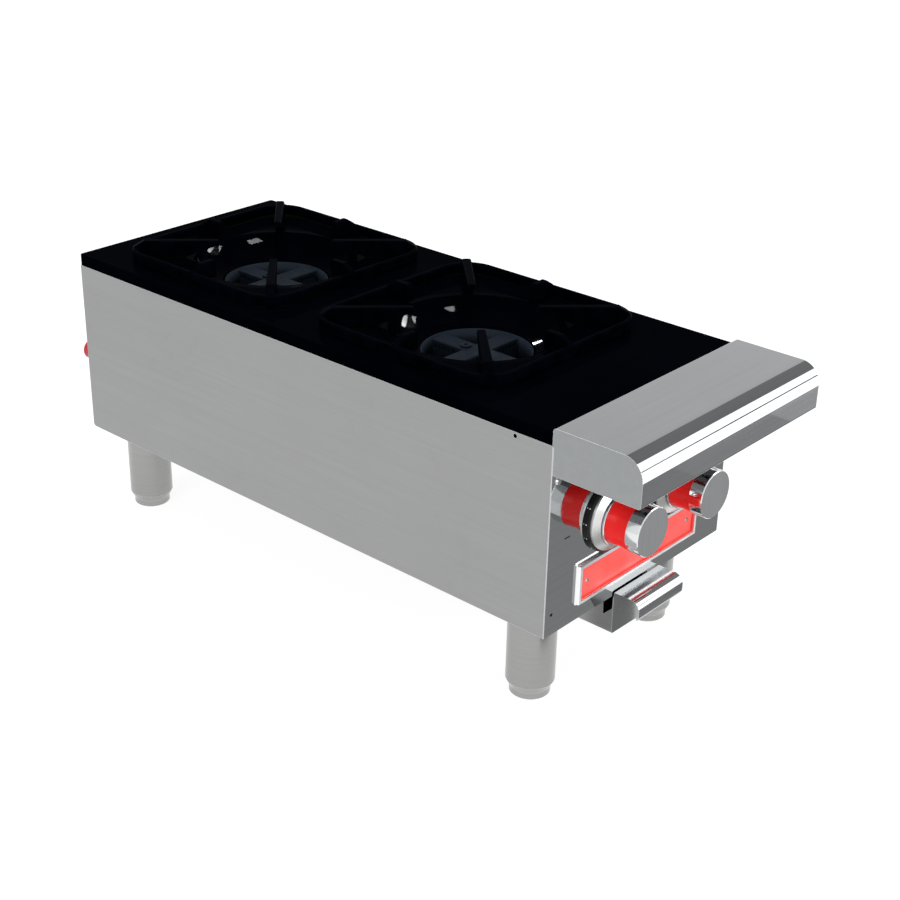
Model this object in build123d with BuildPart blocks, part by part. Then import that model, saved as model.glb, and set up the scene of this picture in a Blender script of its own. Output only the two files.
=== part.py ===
from build123d import *
import os
from math import cos, radians, sin

# Countertop gas stove with two open burners, in millimetres.
# X points right seen from the front, Y to the rear, Z up. The origin lies on the
# counter, under the middle of the whole stove.

os.makedirs("parts", exist_ok=True)

# Overall sizes
body_width = 305.0
body_depth = 709.0
ledge_reach = 100.0
inlet_reach = 30.0
leg_height = 101.6
side_top = 309.7
deck_top = 323.4
ledge_top = 328.2
sheet = 1.2
side_flange = 12.0

half_width = body_width / 2
overall_depth = ledge_reach + body_depth + inlet_reach
panel_y = -overall_depth / 2 + ledge_reach
rear_y = panel_y + body_depth
inner_half = half_width - sheet

# Burners, bowls and grates
burner_y = {"front": panel_y + 224.0, "rear": panel_y + 536.5}
bowl_hole_r = 60.5
bowl_rim_r = 104.0
grate_shift = {"front": 2.4, "rear": 0.0}
grate_size = 258.0
grate_bar = 6.0
grate_corner_r = 40.0
grate_frame_top = 337.2
grate_finger_top = 345.5
burner_arm = 55.0
burner_half = 11.0
burner_top = 297.0

# Knobs, badge, drawer, legs and gas inlet
knob_x = {"left": -58.0, "right": 51.0}
knob_z = 203.0
badge_x = -1.75
badge_z = 141.8
drawer_half = 39.0
drawer_bottom = 57.5
drawer_length = 621.0
leg_x = {"left": -108.5, "right": 99.0}
leg_y = {"front": panel_y + 48.2, "rear": panel_y + 660.1}
leg_r = 25.8
inlet_x = -126.0
inlet_z = 188.0
pipe_r = 10.65


def save(builder, name):
    """Label a finished piece and write its STEP file."""
    builder.part.label = name
    export_step(builder.part, f"parts/{name}.step")


def front_plane(y, x=0.0, z=0.0):
    """Sketch plane whose normal points to the front, with X to the right."""
    return Plane(origin=(x, y, z), x_dir=(1, 0, 0), z_dir=(0, -1, 0))


def side_plane(x):
    """Sketch plane whose normal points right: local X is the stove's Y, local Y is Z."""
    return Plane(origin=(x, 0, 0), x_dir=(0, 1, 0), z_dir=(1, 0, 0))


# Fasteners shared by the panels
screw_r = 2.0
screw_gap = 0.1
front_screw_x = 143.0
front_screw_z = 270.6
lower_hole_x = 142.5
lower_hole_z = 124.9
rear_screw_x = 145.6
rear_screw_z = (128.0, 282.0)


# Side panels: flanged sheets with a small hole near the front end of the top edge
panel_front_y = panel_y + sheet
side_depth = rear_y - panel_front_y
side_height = side_top - leg_height
side_corner_r = 4.0
side_hole_r = 2.2
side_hole_y = panel_y + 45.8
side_hole_z = 305.5

for side, sign in (("left", -1), ("right", 1)):
    with BuildPart() as side_panel:
        with BuildSketch(side_plane(sign * half_width)):
            with Locations((panel_front_y + side_depth / 2, leg_height + side_height / 2)):
                Rectangle(side_depth, side_height)
        extrude(amount=-sign * side_flange)
        rear_edges = side_panel.edges().filter_by(Axis.X).group_by(Axis.Y)[-1]
        fillet(rear_edges.sort_by(Axis.Z)[0], radius=side_corner_r)
        inner_face = side_panel.faces().sort_by(Axis.X)[0 if sign > 0 else -1]
        offset(amount=-sheet, openings=inner_face)
        with BuildSketch(side_plane(sign * half_width)):
            with Locations((side_hole_y, side_hole_z)):
                Circle(side_hole_r)
        extrude(amount=-sign * 2 * sheet, mode=Mode.SUBTRACT)
        with BuildSketch(front_plane(panel_front_y + sheet)):
            with Locations((sign * front_screw_x, front_screw_z), (sign * lower_hole_x, lower_hole_z)):
                Circle(screw_r + screw_gap)
        extrude(amount=sheet, mode=Mode.SUBTRACT)
        with BuildSketch(front_plane(rear_y)):
            with Locations(*[(sign * rear_screw_x, z) for z in rear_screw_z]):
                Circle(screw_r + screw_gap)
        extrude(amount=sheet, mode=Mode.SUBTRACT)
    save(side_panel, f"side_panel_{side}")


# Front panel: knob holes, screw holes and the notch over the drawer handle
front_top = 309.0
notch_half = 41.0
notch_top = 107.5
notch_r = 3.0
stem_hole_r = 9.0

with BuildPart() as front_panel:
    with BuildSketch(front_plane(panel_front_y)):
        with Locations((0, (leg_height + front_top) / 2)):
            Rectangle(body_width, front_top - leg_height)
        with Locations((0, notch_top / 2)):
            RectangleRounded(2 * notch_half, notch_top, notch_r, mode=Mode.SUBTRACT)
        with Locations((knob_x["left"], knob_z), (knob_x["right"], knob_z)):
            Circle(stem_hole_r, mode=Mode.SUBTRACT)
        with Locations((-front_screw_x, front_screw_z), (front_screw_x, front_screw_z)):
            Circle(screw_r + screw_gap, mode=Mode.SUBTRACT)
        with Locations((-lower_hole_x, lower_hole_z), (lower_hole_x, lower_hole_z)):
            Circle(screw_r + screw_gap, mode=Mode.SUBTRACT)
    extrude(amount=sheet)
save(front_panel, "front_panel")


# Front ledge: a hollow box with a bullnose front, closed ends and a rear edge that laps a
# little over the front panel
nose_r = 22.0
ledge_rear_r = 3.5
ledge_lap = 1.5
ledge_lap_z = 310.1
ledge_bottom = 279.8
ledge_foot_r = 3.0
ledge_front_y = panel_y - ledge_reach
ledge_window = (250.0, 14.0)
ledge_window_z = 292.0
ledge_window_cut = 2 * sheet


def ledge_outline(inset):
    """Section of the ledge in the side plane, moved inward by the sheet thickness."""
    rear = panel_y - inset
    lap = panel_y + ledge_lap - inset
    step = ledge_lap_z + inset
    front = ledge_front_y + inset
    top = ledge_top - inset
    bottom = ledge_bottom + inset
    nose = nose_r - inset
    back = ledge_rear_r - inset
    toe = ledge_foot_r - inset
    with BuildLine() as outline:
        Polyline((rear, bottom), (rear, step), (lap, step), (lap, top - back))
        RadiusArc((lap, top - back), (lap - back, top), -back)
        Line((lap - back, top), (front + nose, top))
        RadiusArc((front + nose, top), (front, top - nose), -nose)
        Line((front, top - nose), (front, bottom + toe))
        RadiusArc((front, bottom + toe), (front + toe, bottom), -toe)
        Line((front + toe, bottom), (rear, bottom))
    return outline.line


with BuildPart() as front_ledge:
    with BuildSketch(side_plane(0)):
        add(ledge_outline(0))
        make_face()
    extrude(amount=half_width, both=True)
    with BuildSketch(side_plane(0)):
        add(ledge_outline(sheet))
        make_face()
    extrude(amount=half_width - sheet, both=True, mode=Mode.SUBTRACT)
    with BuildSketch(front_plane(panel_y)):
        with Locations((0, ledge_window_z)):
            Rectangle(*ledge_window)
    extrude(amount=ledge_window_cut, mode=Mode.SUBTRACT)
save(front_ledge, "front_ledge")


# Rear panel: held inside the rear flanges, with vent slots and the inlet hole
rear_panel_y = rear_y - sheet
rear_clear = 0.4
rear_lift = 3.2
rear_bottom = leg_height + sheet + rear_lift
rear_top = side_top - sheet - rear_clear
inlet_hole_r = 12.0
vent_slot = (46.0, 6.0)
vent_columns = 3
vent_rows = 4
vent_pitch = (66.0, 16.0)
vent_z = 262.0

with BuildPart() as rear_panel:
    with BuildSketch(front_plane(rear_panel_y)):
        with Locations((0, (rear_bottom + rear_top) / 2)):
            Rectangle(2 * (inner_half - rear_clear), rear_top - rear_bottom)
        with Locations((inlet_x, inlet_z)):
            Circle(inlet_hole_r, mode=Mode.SUBTRACT)
        for screw_z in rear_screw_z:
            with Locations((-rear_screw_x, screw_z), (rear_screw_x, screw_z)):
                Circle(screw_r + screw_gap, mode=Mode.SUBTRACT)
        with Locations((0, vent_z)):
            with GridLocations(*vent_pitch, vent_columns, vent_rows):
                SlotOverall(*vent_slot, mode=Mode.SUBTRACT)
    extrude(amount=sheet)
save(rear_panel, "rear_panel")


# Base pan: lies on the lower flanges, with a central drip slot and the leg stud holes
pan_bottom = leg_height + sheet
pan_top = pan_bottom + sheet
pan_front_gap = 14.0
pan_rear_gap = 3.6
pan_front_y = panel_y + pan_front_gap
pan_rear_y = rear_panel_y - pan_rear_gap
drip_slot_half = 22.0
drip_slot_y = (panel_y + 70.0, panel_y + 630.0)
pan_lip = 9.0
stud_r = 6.0
stud_gap = 0.3

with BuildPart() as base_pan:
    with BuildSketch(Plane.XY.offset(pan_bottom)):
        with Locations((0, (pan_front_y + pan_rear_y) / 2)):
            Rectangle(2 * (inner_half - rear_clear), pan_rear_y - pan_front_y)
        with Locations((0, sum(drip_slot_y) / 2)):
            Rectangle(2 * drip_slot_half, drip_slot_y[1] - drip_slot_y[0], mode=Mode.SUBTRACT)
        for row_y in leg_y.values():
            with Locations((leg_x["left"], row_y), (leg_x["right"], row_y)):
                Circle(stud_r + stud_gap, mode=Mode.SUBTRACT)
    extrude(amount=sheet)
    with BuildSketch(Plane.XY.offset(pan_top)):
        for lip_y in (pan_front_y + sheet / 2, pan_rear_y - sheet / 2):
            with Locations((0, lip_y)):
                Rectangle(2 * (inner_half - rear_clear), sheet)
    extrude(amount=pan_lip)
save(base_pan, "base_pan")


# Top plate: black deck with a skirt, two openings with a seat for the bowls, and pads
# that stand on the upper flanges of the side panels
deck_sheet = 3.0
deck_half = 152.3
deck_front_y = panel_y + 3.0
deck_rear_y = rear_y + 0.9
skirt_bottom = side_top + 0.6
deck_corner_r = 3.5
deck_edge_r = 1.2
seat_depth = 1.5
seat_gap = 0.5
deck_hole_r = 97.0
pad = 13.0
pad_x = deck_half - deck_sheet - pad / 2
pad_y = (deck_front_y + deck_sheet + pad / 2, (deck_front_y + deck_rear_y) / 2,
         deck_rear_y - deck_sheet - pad / 2)

with BuildPart() as top_plate:
    with BuildSketch(Plane.XY.offset(skirt_bottom)):
        with Locations((0, (deck_front_y + deck_rear_y) / 2)):
            RectangleRounded(2 * deck_half, deck_rear_y - deck_front_y, deck_corner_r)
    extrude(amount=deck_top - skirt_bottom)
    fillet(top_plate.faces().sort_by(Axis.Z)[-1].edges(), radius=deck_edge_r)
    offset(amount=-deck_sheet, openings=top_plate.faces().sort_by(Axis.Z)[0])
    for centre_y in burner_y.values():
        with BuildSketch(Plane((0, centre_y, deck_top))):
            Circle(deck_hole_r)
        extrude(amount=-2 * deck_sheet, mode=Mode.SUBTRACT)
        with BuildSketch(Plane((0, centre_y, deck_top))):
            Circle(bowl_rim_r + seat_gap)
        extrude(amount=-seat_depth, mode=Mode.SUBTRACT)
    with BuildSketch(Plane.XY.offset(side_top)):
        for row_y in pad_y:
            with Locations((-pad_x, row_y), (pad_x, row_y)):
                Rectangle(pad, pad)
    extrude(amount=deck_top - deck_sheet - side_top)
save(top_plate, "top_plate")


# Bowls: dished rings whose rim lies flush in the deck and whose collar hangs over the burner
bowl_wall = 1.6
rim_wall = 1.4
dish_top_r = 95.4
dish_low_r = 63.0
dish_low_z = 297.6
dish_mid = (82.6, 307.4)
collar_bottom = 293.4
under_shift = 1.0
under_toe = 0.4


def make_bowl(name, centre_y):
    """Revolve the bowl section about the burner axis."""
    with BuildPart() as bowl:
        with BuildSketch(Plane(origin=(0, centre_y, 0), x_dir=(1, 0, 0), z_dir=(0, -1, 0))):
            with BuildLine():
                upper = ThreePointArc((dish_top_r, deck_top), dish_mid, (dish_low_r, dish_low_z))
                lower = ThreePointArc(
                    (dish_top_r + under_shift, deck_top - rim_wall),
                    (dish_mid[0] + under_shift, dish_mid[1] - bowl_wall),
                    (dish_low_r - under_toe, dish_low_z - bowl_wall),
                )
                Polyline(
                    upper @ 0,
                    (bowl_rim_r, deck_top),
                    (bowl_rim_r, deck_top - rim_wall),
                    lower @ 0,
                )
                Polyline(
                    lower @ 1,
                    (bowl_hole_r + bowl_wall, dish_low_z - bowl_wall),
                    (bowl_hole_r + bowl_wall, collar_bottom),
                    (bowl_hole_r, collar_bottom),
                    (bowl_hole_r, dish_low_z),
                    upper @ 1,
                )
            make_face()
        revolve(axis=Axis((0, centre_y, 0), (0, 0, 1)))
    save(bowl, name)


# Grates: a thin upright frame on pads, four diagonal fins that thin towards their tips and
# slope off to the frame corners, and a short finger at the middle of each side
frame_bottom = 325.5
frame_edge = 1.5
fin_tip_r = 65.0
fin_toe_r = 64.0
fin_toe_z = 339.8
fin_shoulder_r = 152.0
fin_root_r = 164.0
slope_foot_z = 338.0
fin_under = ((106.0, 325.5), (84.0, 333.8), (70.0, 338.6))
nose_rise = 4.0
nose_run = 2.0
fin_trim = 1.0
fin_tip_half = 4.3
fin_root_half = 5.2
bar_edge = 1.2
bar_up = 0.6
finger_inner_r = 95.0
finger_shoulder_r = 115.0
finger_root_r = 127.0
finger_half = 4.0
grate_foot = (6.0, 18.0)


def break_top_edges(bar):
    """Chamfer the long edges of the upward faces of a bar that runs along X."""
    upward = bar.faces().filter_by(lambda face: face.normal_at().Z > bar_up)
    chamfer(upward.edges().filter_by(Axis.Y, reverse=True), length=bar_edge)


def make_grate(name, centre_y):
    """Cast one grate over the burner at centre_y."""
    half = grate_size / 2
    with BuildPart(mode=Mode.PRIVATE) as fin:
        with BuildSketch(Plane.XZ):
            with BuildLine():
                Polyline(
                    (fin_root_r, frame_bottom),
                    *fin_under,
                    (fin_toe_r, fin_toe_z),
                    (fin_tip_r, grate_finger_top - nose_rise),
                    (fin_tip_r + nose_run, grate_finger_top),
                    (fin_shoulder_r, grate_finger_top),
                    (fin_root_r, slope_foot_z),
                    close=True,
                )
            make_face()
        extrude(amount=fin_root_half, both=True)
        with BuildSketch(Plane.XY.offset(frame_bottom - fin_trim)):
            with BuildLine():
                Polyline(
                    (fin_toe_r - fin_trim, -fin_tip_half),
                    (fin_root_r + fin_trim, -fin_root_half),
                    (fin_root_r + fin_trim, fin_root_half),
                    (fin_toe_r - fin_trim, fin_tip_half),
                    close=True,
                )
            make_face()
        extrude(amount=grate_finger_top - frame_bottom + 2 * fin_trim, mode=Mode.INTERSECT)
        break_top_edges(fin)
    with BuildPart(mode=Mode.PRIVATE) as finger:
        with BuildSketch(Plane.XZ):
            with BuildLine():
                Polyline(
                    (finger_root_r, frame_bottom),
                    (finger_inner_r, frame_bottom),
                    (finger_inner_r, grate_finger_top - nose_rise),
                    (finger_inner_r + nose_run, grate_finger_top),
                    (finger_shoulder_r, grate_finger_top),
                    (finger_root_r, slope_foot_z),
                    close=True,
                )
            make_face()
        extrude(amount=finger_half, both=True)
        break_top_edges(finger)
    with BuildPart() as grate:
        with BuildSketch(Plane((0, centre_y, frame_bottom))):
            RectangleRounded(grate_size, grate_size, grate_corner_r)
            RectangleRounded(
                grate_size - 2 * grate_bar,
                grate_size - 2 * grate_bar,
                grate_corner_r - grate_bar,
                mode=Mode.SUBTRACT,
            )
        extrude(amount=grate_frame_top - frame_bottom)
        chamfer(grate.faces().sort_by(Axis.Z)[-1].edges(), length=frame_edge)
        with BuildSketch(Plane((0, centre_y, deck_top))):
            with PolarLocations(half - grate_bar / 2, 4):
                Rectangle(*grate_foot)
        extrude(amount=frame_bottom - deck_top)
        for quarter in range(4):
            add(finger.part.moved(Location((0, centre_y, 0), (0, 0, 90 * quarter))))
            add(fin.part.moved(Location((0, centre_y, 0), (0, 0, 45 + 90 * quarter))))
    save(grate, name)


# Burners: a cross-shaped casting with port slots under the edge of a cross-shaped lid
lid_wall = 4.0
lid_overhang = 0.8
lid_gap = 0.2
lid_edge = 1.0
body_wall_bottom = 277.0
port_width = 3.0
port_depth = 2.6
port_height = 5.4
port_pitch = 6.4
port_count = 6
first_port = 18.4
throat_r = 16.0
tube_r = 13.0
tube_wall = 1.2
tube_gap = 0.1
throat_bottom = 240.0
tube_socket = 12.0
boss_y = 34.0
boss_r = 6.0
strap_top = 246.0
lid_boss_r = 6.2
lid_boss_hole_r = 2.3
lid_boss_rise = 2.6
lid_boss_at = (-2.0, 14.0)
lid_hole_depth = 4.6
spigot_r = 8.0
spigot_drop = 3.0
spigot_well = 4.0
spigot_gap = 0.4


def cross(half, arm):
    """Plus-shaped outline with arms along X and Y."""
    Rectangle(2 * arm, 2 * half)
    Rectangle(2 * half, 2 * arm)


def make_burner(place, centre_y):
    """Cast the lid and the body of one burner."""
    body_top = burner_top - lid_wall - lid_gap
    body_half = burner_half - lid_overhang
    body_arm = burner_arm - lid_overhang
    with BuildPart() as burner_cap:
        with BuildSketch(Plane((0, centre_y, burner_top - lid_wall))):
            cross(burner_half, burner_arm)
        extrude(amount=lid_wall)
        chamfer(burner_cap.faces().sort_by(Axis.Z)[-1].edges(), length=lid_edge)
        boss_centre = (lid_boss_at[0], centre_y + lid_boss_at[1])
        with BuildSketch(Plane((*boss_centre, burner_top))):
            Circle(lid_boss_r)
        extrude(amount=lid_boss_rise)
        with BuildSketch(Plane((*boss_centre, burner_top + lid_boss_rise))):
            Circle(lid_boss_hole_r)
        extrude(amount=-lid_hole_depth, mode=Mode.SUBTRACT)
        with BuildSketch(Plane((0, centre_y, burner_top - lid_wall))):
            Circle(spigot_r)
        extrude(amount=-spigot_drop)
    save(burner_cap, f"burner_cap_{place}")

    with BuildPart() as burner_body:
        with BuildSketch(Plane((0, centre_y, body_top))):
            cross(body_half, body_arm)
        extrude(amount=-(body_top - body_wall_bottom))
        with BuildSketch(Plane((0, centre_y, body_wall_bottom))):
            Circle(throat_r)
        extrude(amount=-(body_wall_bottom - throat_bottom))
        with BuildSketch(Plane((0, centre_y, body_wall_bottom))):
            with Locations((0, -boss_y), (0, boss_y)):
                Circle(boss_r)
        extrude(amount=-(body_wall_bottom - strap_top))
        with BuildSketch(Plane((0, centre_y, body_top))):
            for quarter in range(4):
                for port in range(port_count):
                    along = first_port + port * port_pitch
                    for edge in (-1, 1):
                        across = edge * (body_half - port_depth / 2)
                        angle = radians(90 * quarter)
                        spot = (
                            along * cos(angle) - across * sin(angle),
                            along * sin(angle) + across * cos(angle),
                        )
                        size = (port_width, port_depth)
                        if quarter % 2:
                            size = (port_depth, port_width)
                        with Locations(spot):
                            Rectangle(*size)
        extrude(amount=-port_height, mode=Mode.SUBTRACT)
        with BuildSketch(Plane((0, centre_y, body_top))):
            Circle(spigot_r + spigot_gap)
        extrude(amount=-spigot_well, mode=Mode.SUBTRACT)
        with BuildSketch(Plane((0, centre_y, throat_bottom))):
            Circle(tube_r + tube_gap)
        extrude(amount=tube_socket, mode=Mode.SUBTRACT)
    save(burner_body, f"burner_body_{place}")


for place, centre_y in burner_y.items():
    make_bowl(f"bowl_{place}", centre_y)
    make_grate(f"grate_{place}", centre_y + grate_shift[place])
    make_burner(place, centre_y)


# Burner supports: four straps across the body under the burner bosses
strap_width = 20.0
strap_wall = 2.0
strap_ear = 20.0
strap_gap = 0.1
strap_half = inner_half - strap_gap

with BuildPart() as burner_supports:
    for centre_y in burner_y.values():
        for offset_y in (-boss_y, boss_y):
            with BuildSketch(front_plane(centre_y + offset_y + strap_width / 2)):
                with Locations((0, strap_top - strap_wall / 2)):
                    Rectangle(2 * strap_half, strap_wall)
                ear_x = strap_half - strap_wall / 2
                with Locations((-ear_x, strap_top - strap_ear / 2), (ear_x, strap_top - strap_ear / 2)):
                    Rectangle(strap_wall, strap_ear)
            extrude(amount=strap_width)
save(burner_supports, "burner_supports")


# Mixing tubes: bent steel tubes from the valve outlets up into the burner throats
outlet_z = 208.0
tube_mouth_y = panel_y + 76.0
tube_top = 251.0
tube_bend_r = 24.0
tube_turn_in = 49.0

for place, side in (("front", "left"), ("rear", "right")):
    centre_y = burner_y[place]
    start_x = knob_x[side]
    with BuildPart() as mixer_tube:
        with BuildLine() as tube_path:
            FilletPolyline(
                (start_x, tube_mouth_y, outlet_z),
                (start_x, centre_y - tube_turn_in, outlet_z),
                (0, centre_y, outlet_z),
                (0, centre_y, tube_top),
                radius=tube_bend_r,
            )
        with BuildSketch(Plane(origin=(start_x, tube_mouth_y, outlet_z), z_dir=(0, 1, 0))):
            Circle(tube_r)
            Circle(tube_r - tube_wall, mode=Mode.SUBTRACT)
        sweep(path=tube_path.line)
    save(mixer_tube, f"mixer_tube_{place}")


# Manifold: one pipe from the rear inlet, bent behind the control panel under the valves
manifold_y = panel_y + 62.0
manifold_end_x = 92.0
pipe_bore_r = 8.0
pipe_bend_r = 26.0
valve_inlet_r = 6.0
plug_rise = 2.0
plug_length = 8.0
gas_fit = 0.1
nipple_setback = 2.0
nipple_end_y = rear_y + inlet_reach - nipple_setback
pilot_x = {"front": -25.0, "rear": 25.0}
pilot_r = 2.4

with BuildPart() as manifold:
    with BuildLine() as pipe_path:
        FilletPolyline(
            (inlet_x, nipple_end_y, inlet_z),
            (inlet_x, manifold_y, inlet_z),
            (manifold_end_x, manifold_y, inlet_z),
            radius=pipe_bend_r,
        )
    with BuildSketch(Plane(origin=(inlet_x, nipple_end_y, inlet_z), z_dir=(0, 1, 0))):
        Circle(pipe_r)
        Circle(pipe_bore_r, mode=Mode.SUBTRACT)
    sweep(path=pipe_path.line)
    with BuildSketch(Plane.YZ.offset(manifold_end_x)):
        with Locations((manifold_y, inlet_z)):
            Circle(pipe_r + plug_rise)
    extrude(amount=-plug_length)
    with BuildSketch(front_plane(manifold_y)):
        with Locations((knob_x["left"], inlet_z), (knob_x["right"], inlet_z)):
            Circle(valve_inlet_r + gas_fit)
    extrude(amount=2 * pipe_r, mode=Mode.SUBTRACT)
    with BuildSketch(Plane.XY.offset(inlet_z)):
        with Locations((pilot_x["front"], manifold_y), (pilot_x["rear"], manifold_y)):
            Circle(pilot_r + gas_fit)
    extrude(amount=2 * pipe_r, mode=Mode.SUBTRACT)
save(manifold, "manifold")


# Gas valves: a brass block with a nose for the stem, an inlet stub and an outlet hood
valve_front_y = panel_y + 12.0
valve_rear_y = panel_y + 48.0
valve_width = 24.0
valve_z = (179.0, 216.0)
nose_front_y = panel_y + 2.0
valve_nose_r = 8.0
valve_corner_r = 3.0
stem_r = 4.0
stem_fit = 0.05
stem_bore_y = panel_y + 30.0
hood_r = 5.5
hood_tip_r = 3.5
hood_tip_length = 6.0
hood_end_y = panel_y + 82.0
hood_step_y = hood_end_y - hood_tip_length

for side, centre_x in knob_x.items():
    with BuildPart() as valve_body:
        with BuildSketch(front_plane(valve_rear_y)):
            with Locations((centre_x, sum(valve_z) / 2)):
                RectangleRounded(valve_width, valve_z[1] - valve_z[0], valve_corner_r)
        extrude(amount=valve_rear_y - valve_front_y)
        with BuildSketch(front_plane(valve_front_y)):
            with Locations((centre_x, knob_z)):
                Circle(valve_nose_r)
        extrude(amount=valve_front_y - nose_front_y)
        with BuildSketch(front_plane(stem_bore_y)):
            with Locations((centre_x, knob_z)):
                Circle(stem_r + stem_fit)
        extrude(amount=stem_bore_y - nose_front_y, mode=Mode.SUBTRACT)
        with BuildSketch(front_plane(valve_rear_y)):
            with Locations((centre_x, inlet_z)):
                Circle(valve_inlet_r)
        extrude(amount=-(manifold_y - pipe_bore_r - valve_rear_y))
        with BuildSketch(front_plane(valve_rear_y)):
            with Locations((centre_x, outlet_z)):
                Circle(hood_r)
        extrude(amount=-(hood_step_y - valve_rear_y))
        with BuildSketch(front_plane(hood_step_y)):
            with Locations((centre_x, outlet_z)):
                Circle(hood_tip_r)
        extrude(amount=-hood_tip_length)
    save(valve_body, f"valve_body_{side}")


# Pilot tubes: thin tubes from the manifold to a tip beside each burner
pilot_run_z = 236.0
pilot_top_z = 287.0
pilot_tip_r = 3.6
pilot_tip_rise = 9.0
pilot_bend_r = 12.0
pilot_side_y = 18.0
pilot_foot_z = 196.6

for place, centre_y in burner_y.items():
    tip_y = centre_y - pilot_side_y
    with BuildPart() as pilot_tube:
        with BuildLine() as pilot_path:
            FilletPolyline(
                (pilot_x[place], manifold_y, pilot_foot_z),
                (pilot_x[place], manifold_y, pilot_run_z),
                (pilot_x[place], tip_y, pilot_run_z),
                (pilot_x[place], tip_y, pilot_top_z),
                radius=pilot_bend_r,
            )
        with BuildSketch(Plane((pilot_x[place], manifold_y, pilot_foot_z))):
            Circle(pilot_r)
        sweep(path=pilot_path.line)
        with BuildSketch(Plane((pilot_x[place], tip_y, pilot_top_z - pilot_tip_rise))):
            Circle(pilot_tip_r)
        extrude(amount=pilot_tip_rise)
    save(pilot_tube, f"pilot_tube_{place}")


# Knobs: fixed black dial ring and flared ring on the panel; chrome collar, red body with a
# pointer rib, brushed cap and valve stem turn together. Sections are revolved about Y.
bezel_r = 38.0
bezel_wall = 4.4
bezel_edge = 1.2
ring_rear_r = 35.5
ring_front_r = 28.4
ring_y = (4.6, 7.2, 12.0)
hub_hole_r = 9.0
collar_r = 27.6
collar_y = (12.4, 15.0)
collar_edge = 0.5
collar_bore_r = 5.0
grip_r = 25.6
grip_waist_r = 24.6
grip_y = (15.0, 39.0)
cap_r = 26.0
cap_y = (39.0, 54.0)
cap_edge = 0.8
cap_face_wall = 2.5
grip_core_r = 24.2
knob_gap = 0.1
pointer_angle = {"left": 270, "right": 180}
pointer_half = 4.5
pointer_gap = 0.2
pointer_root = 2.0
slot_reach = 6.6
slot_run = 0.5
stem_front = 46.0
stem_end_y = stem_bore_y - 1.0


def turned(centre_x, *points):
    """Revolve a closed section about the knob axis; points are (radius, reach from the panel)."""
    with BuildPart() as ring:
        with BuildSketch(Plane(origin=(centre_x, panel_y, knob_z), x_dir=(0, 0, 1), z_dir=(1, 0, 0))):
            with BuildLine():
                Polyline(*points, close=True)
            make_face()
        revolve(axis=Axis((centre_x, panel_y, knob_z), (0, 1, 0)))
    return ring


for side, centre_x in knob_x.items():
    bezel = turned(
        centre_x,
        (hub_hole_r, 0), (bezel_r, 0), (bezel_r, bezel_wall - bezel_edge),
        (bezel_r - bezel_edge, bezel_wall), (hub_hole_r, bezel_wall),
    )
    save(bezel, f"bezel_{side}")

    dial_ring = turned(
        centre_x,
        (hub_hole_r, ring_y[0]), (ring_rear_r, ring_y[0]), (ring_rear_r, ring_y[1]),
        (ring_front_r, ring_y[2]), (hub_hole_r, ring_y[2]),
    )
    save(dial_ring, f"dial_ring_{side}")

    knob_collar = turned(
        centre_x,
        (collar_bore_r, collar_y[0]), (collar_r - collar_edge, collar_y[0]),
        (collar_r, collar_y[0] + collar_edge), (collar_r, collar_y[1] - collar_edge),
        (collar_r - collar_edge, collar_y[1]), (collar_bore_r, collar_y[1]),
    )
    save(knob_collar, f"knob_collar_{side}")

    rear_reach = grip_y[0] + knob_gap
    front_reach = grip_y[1] - knob_gap
    core_reach = cap_y[1] - cap_face_wall - knob_gap
    grip = turned(
        centre_x,
        (0, rear_reach), (grip_r, rear_reach), (grip_waist_r, sum(grip_y) / 2), (grip_r, front_reach),
        (grip_core_r, front_reach), (grip_core_r, core_reach), (0, core_reach),
    )
    with BuildPart() as knob:
        add(grip.part)
        with BuildSketch(front_plane(panel_y - front_reach)):
            with Locations((centre_x, knob_z)):
                with PolarLocations((grip_core_r + cap_r) / 2, 1, start_angle=pointer_angle[side]):
                    Rectangle(cap_r - grip_core_r + pointer_root, 2 * (pointer_half - pointer_gap))
        extrude(amount=core_reach - front_reach - knob_gap)
        with BuildSketch(front_plane(panel_y - collar_y[1])):
            with Locations((centre_x, knob_z)):
                Circle(stem_r + stem_fit)
        extrude(amount=stem_front - collar_y[1] + pointer_gap, mode=Mode.SUBTRACT)
    save(knob, f"knob_{side}")

    cup = turned(
        centre_x,
        (grip_core_r + knob_gap, cap_y[0]), (cap_r, cap_y[0]), (cap_r, cap_y[1] - cap_edge),
        (cap_r - cap_edge, cap_y[1]), (0, cap_y[1]), (0, cap_y[1] - cap_face_wall),
        (grip_core_r + knob_gap, cap_y[1] - cap_face_wall),
    )
    with BuildPart() as knob_cap:
        add(cup.part)
        with BuildSketch(front_plane(panel_y - cap_y[0] + slot_run)):
            with Locations((centre_x, knob_z)):
                with PolarLocations(cap_r, 1, start_angle=pointer_angle[side]):
                    Rectangle(slot_reach, 2 * pointer_half)
        extrude(amount=cap_y[1] - cap_y[0] - cap_face_wall + slot_run, mode=Mode.SUBTRACT)
    save(knob_cap, f"knob_cap_{side}")

    with BuildPart() as valve_stem:
        with BuildSketch(front_plane(stem_end_y)):
            with Locations((centre_x, knob_z)):
                Circle(stem_r)
        extrude(amount=stem_end_y - panel_y + stem_front)
    save(valve_stem, f"valve_stem_{side}")


# Badge: bevelled chrome frame round a shallow red tray held by two rivets
badge_size = (207.5, 46.5)
badge_border = 5.0
badge_rise = 4.5
badge_bevel = 22
badge_corner_r = 1.5
badge_lip = 1.0
badge_plate_gap = 0.3
badge_wall = 1.0
badge_field = 1.6
rivet_x = 87.0
rivet_r = 2.2
rivet_shank_r = 1.1
rivet_rise = 1.2
rivet_taper = 30

badge_opening = (badge_size[0] - 2 * badge_border, badge_size[1] - 2 * badge_border)
badge_tray = (badge_opening[0] - 2 * badge_plate_gap, badge_opening[1] - 2 * badge_plate_gap)

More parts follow.
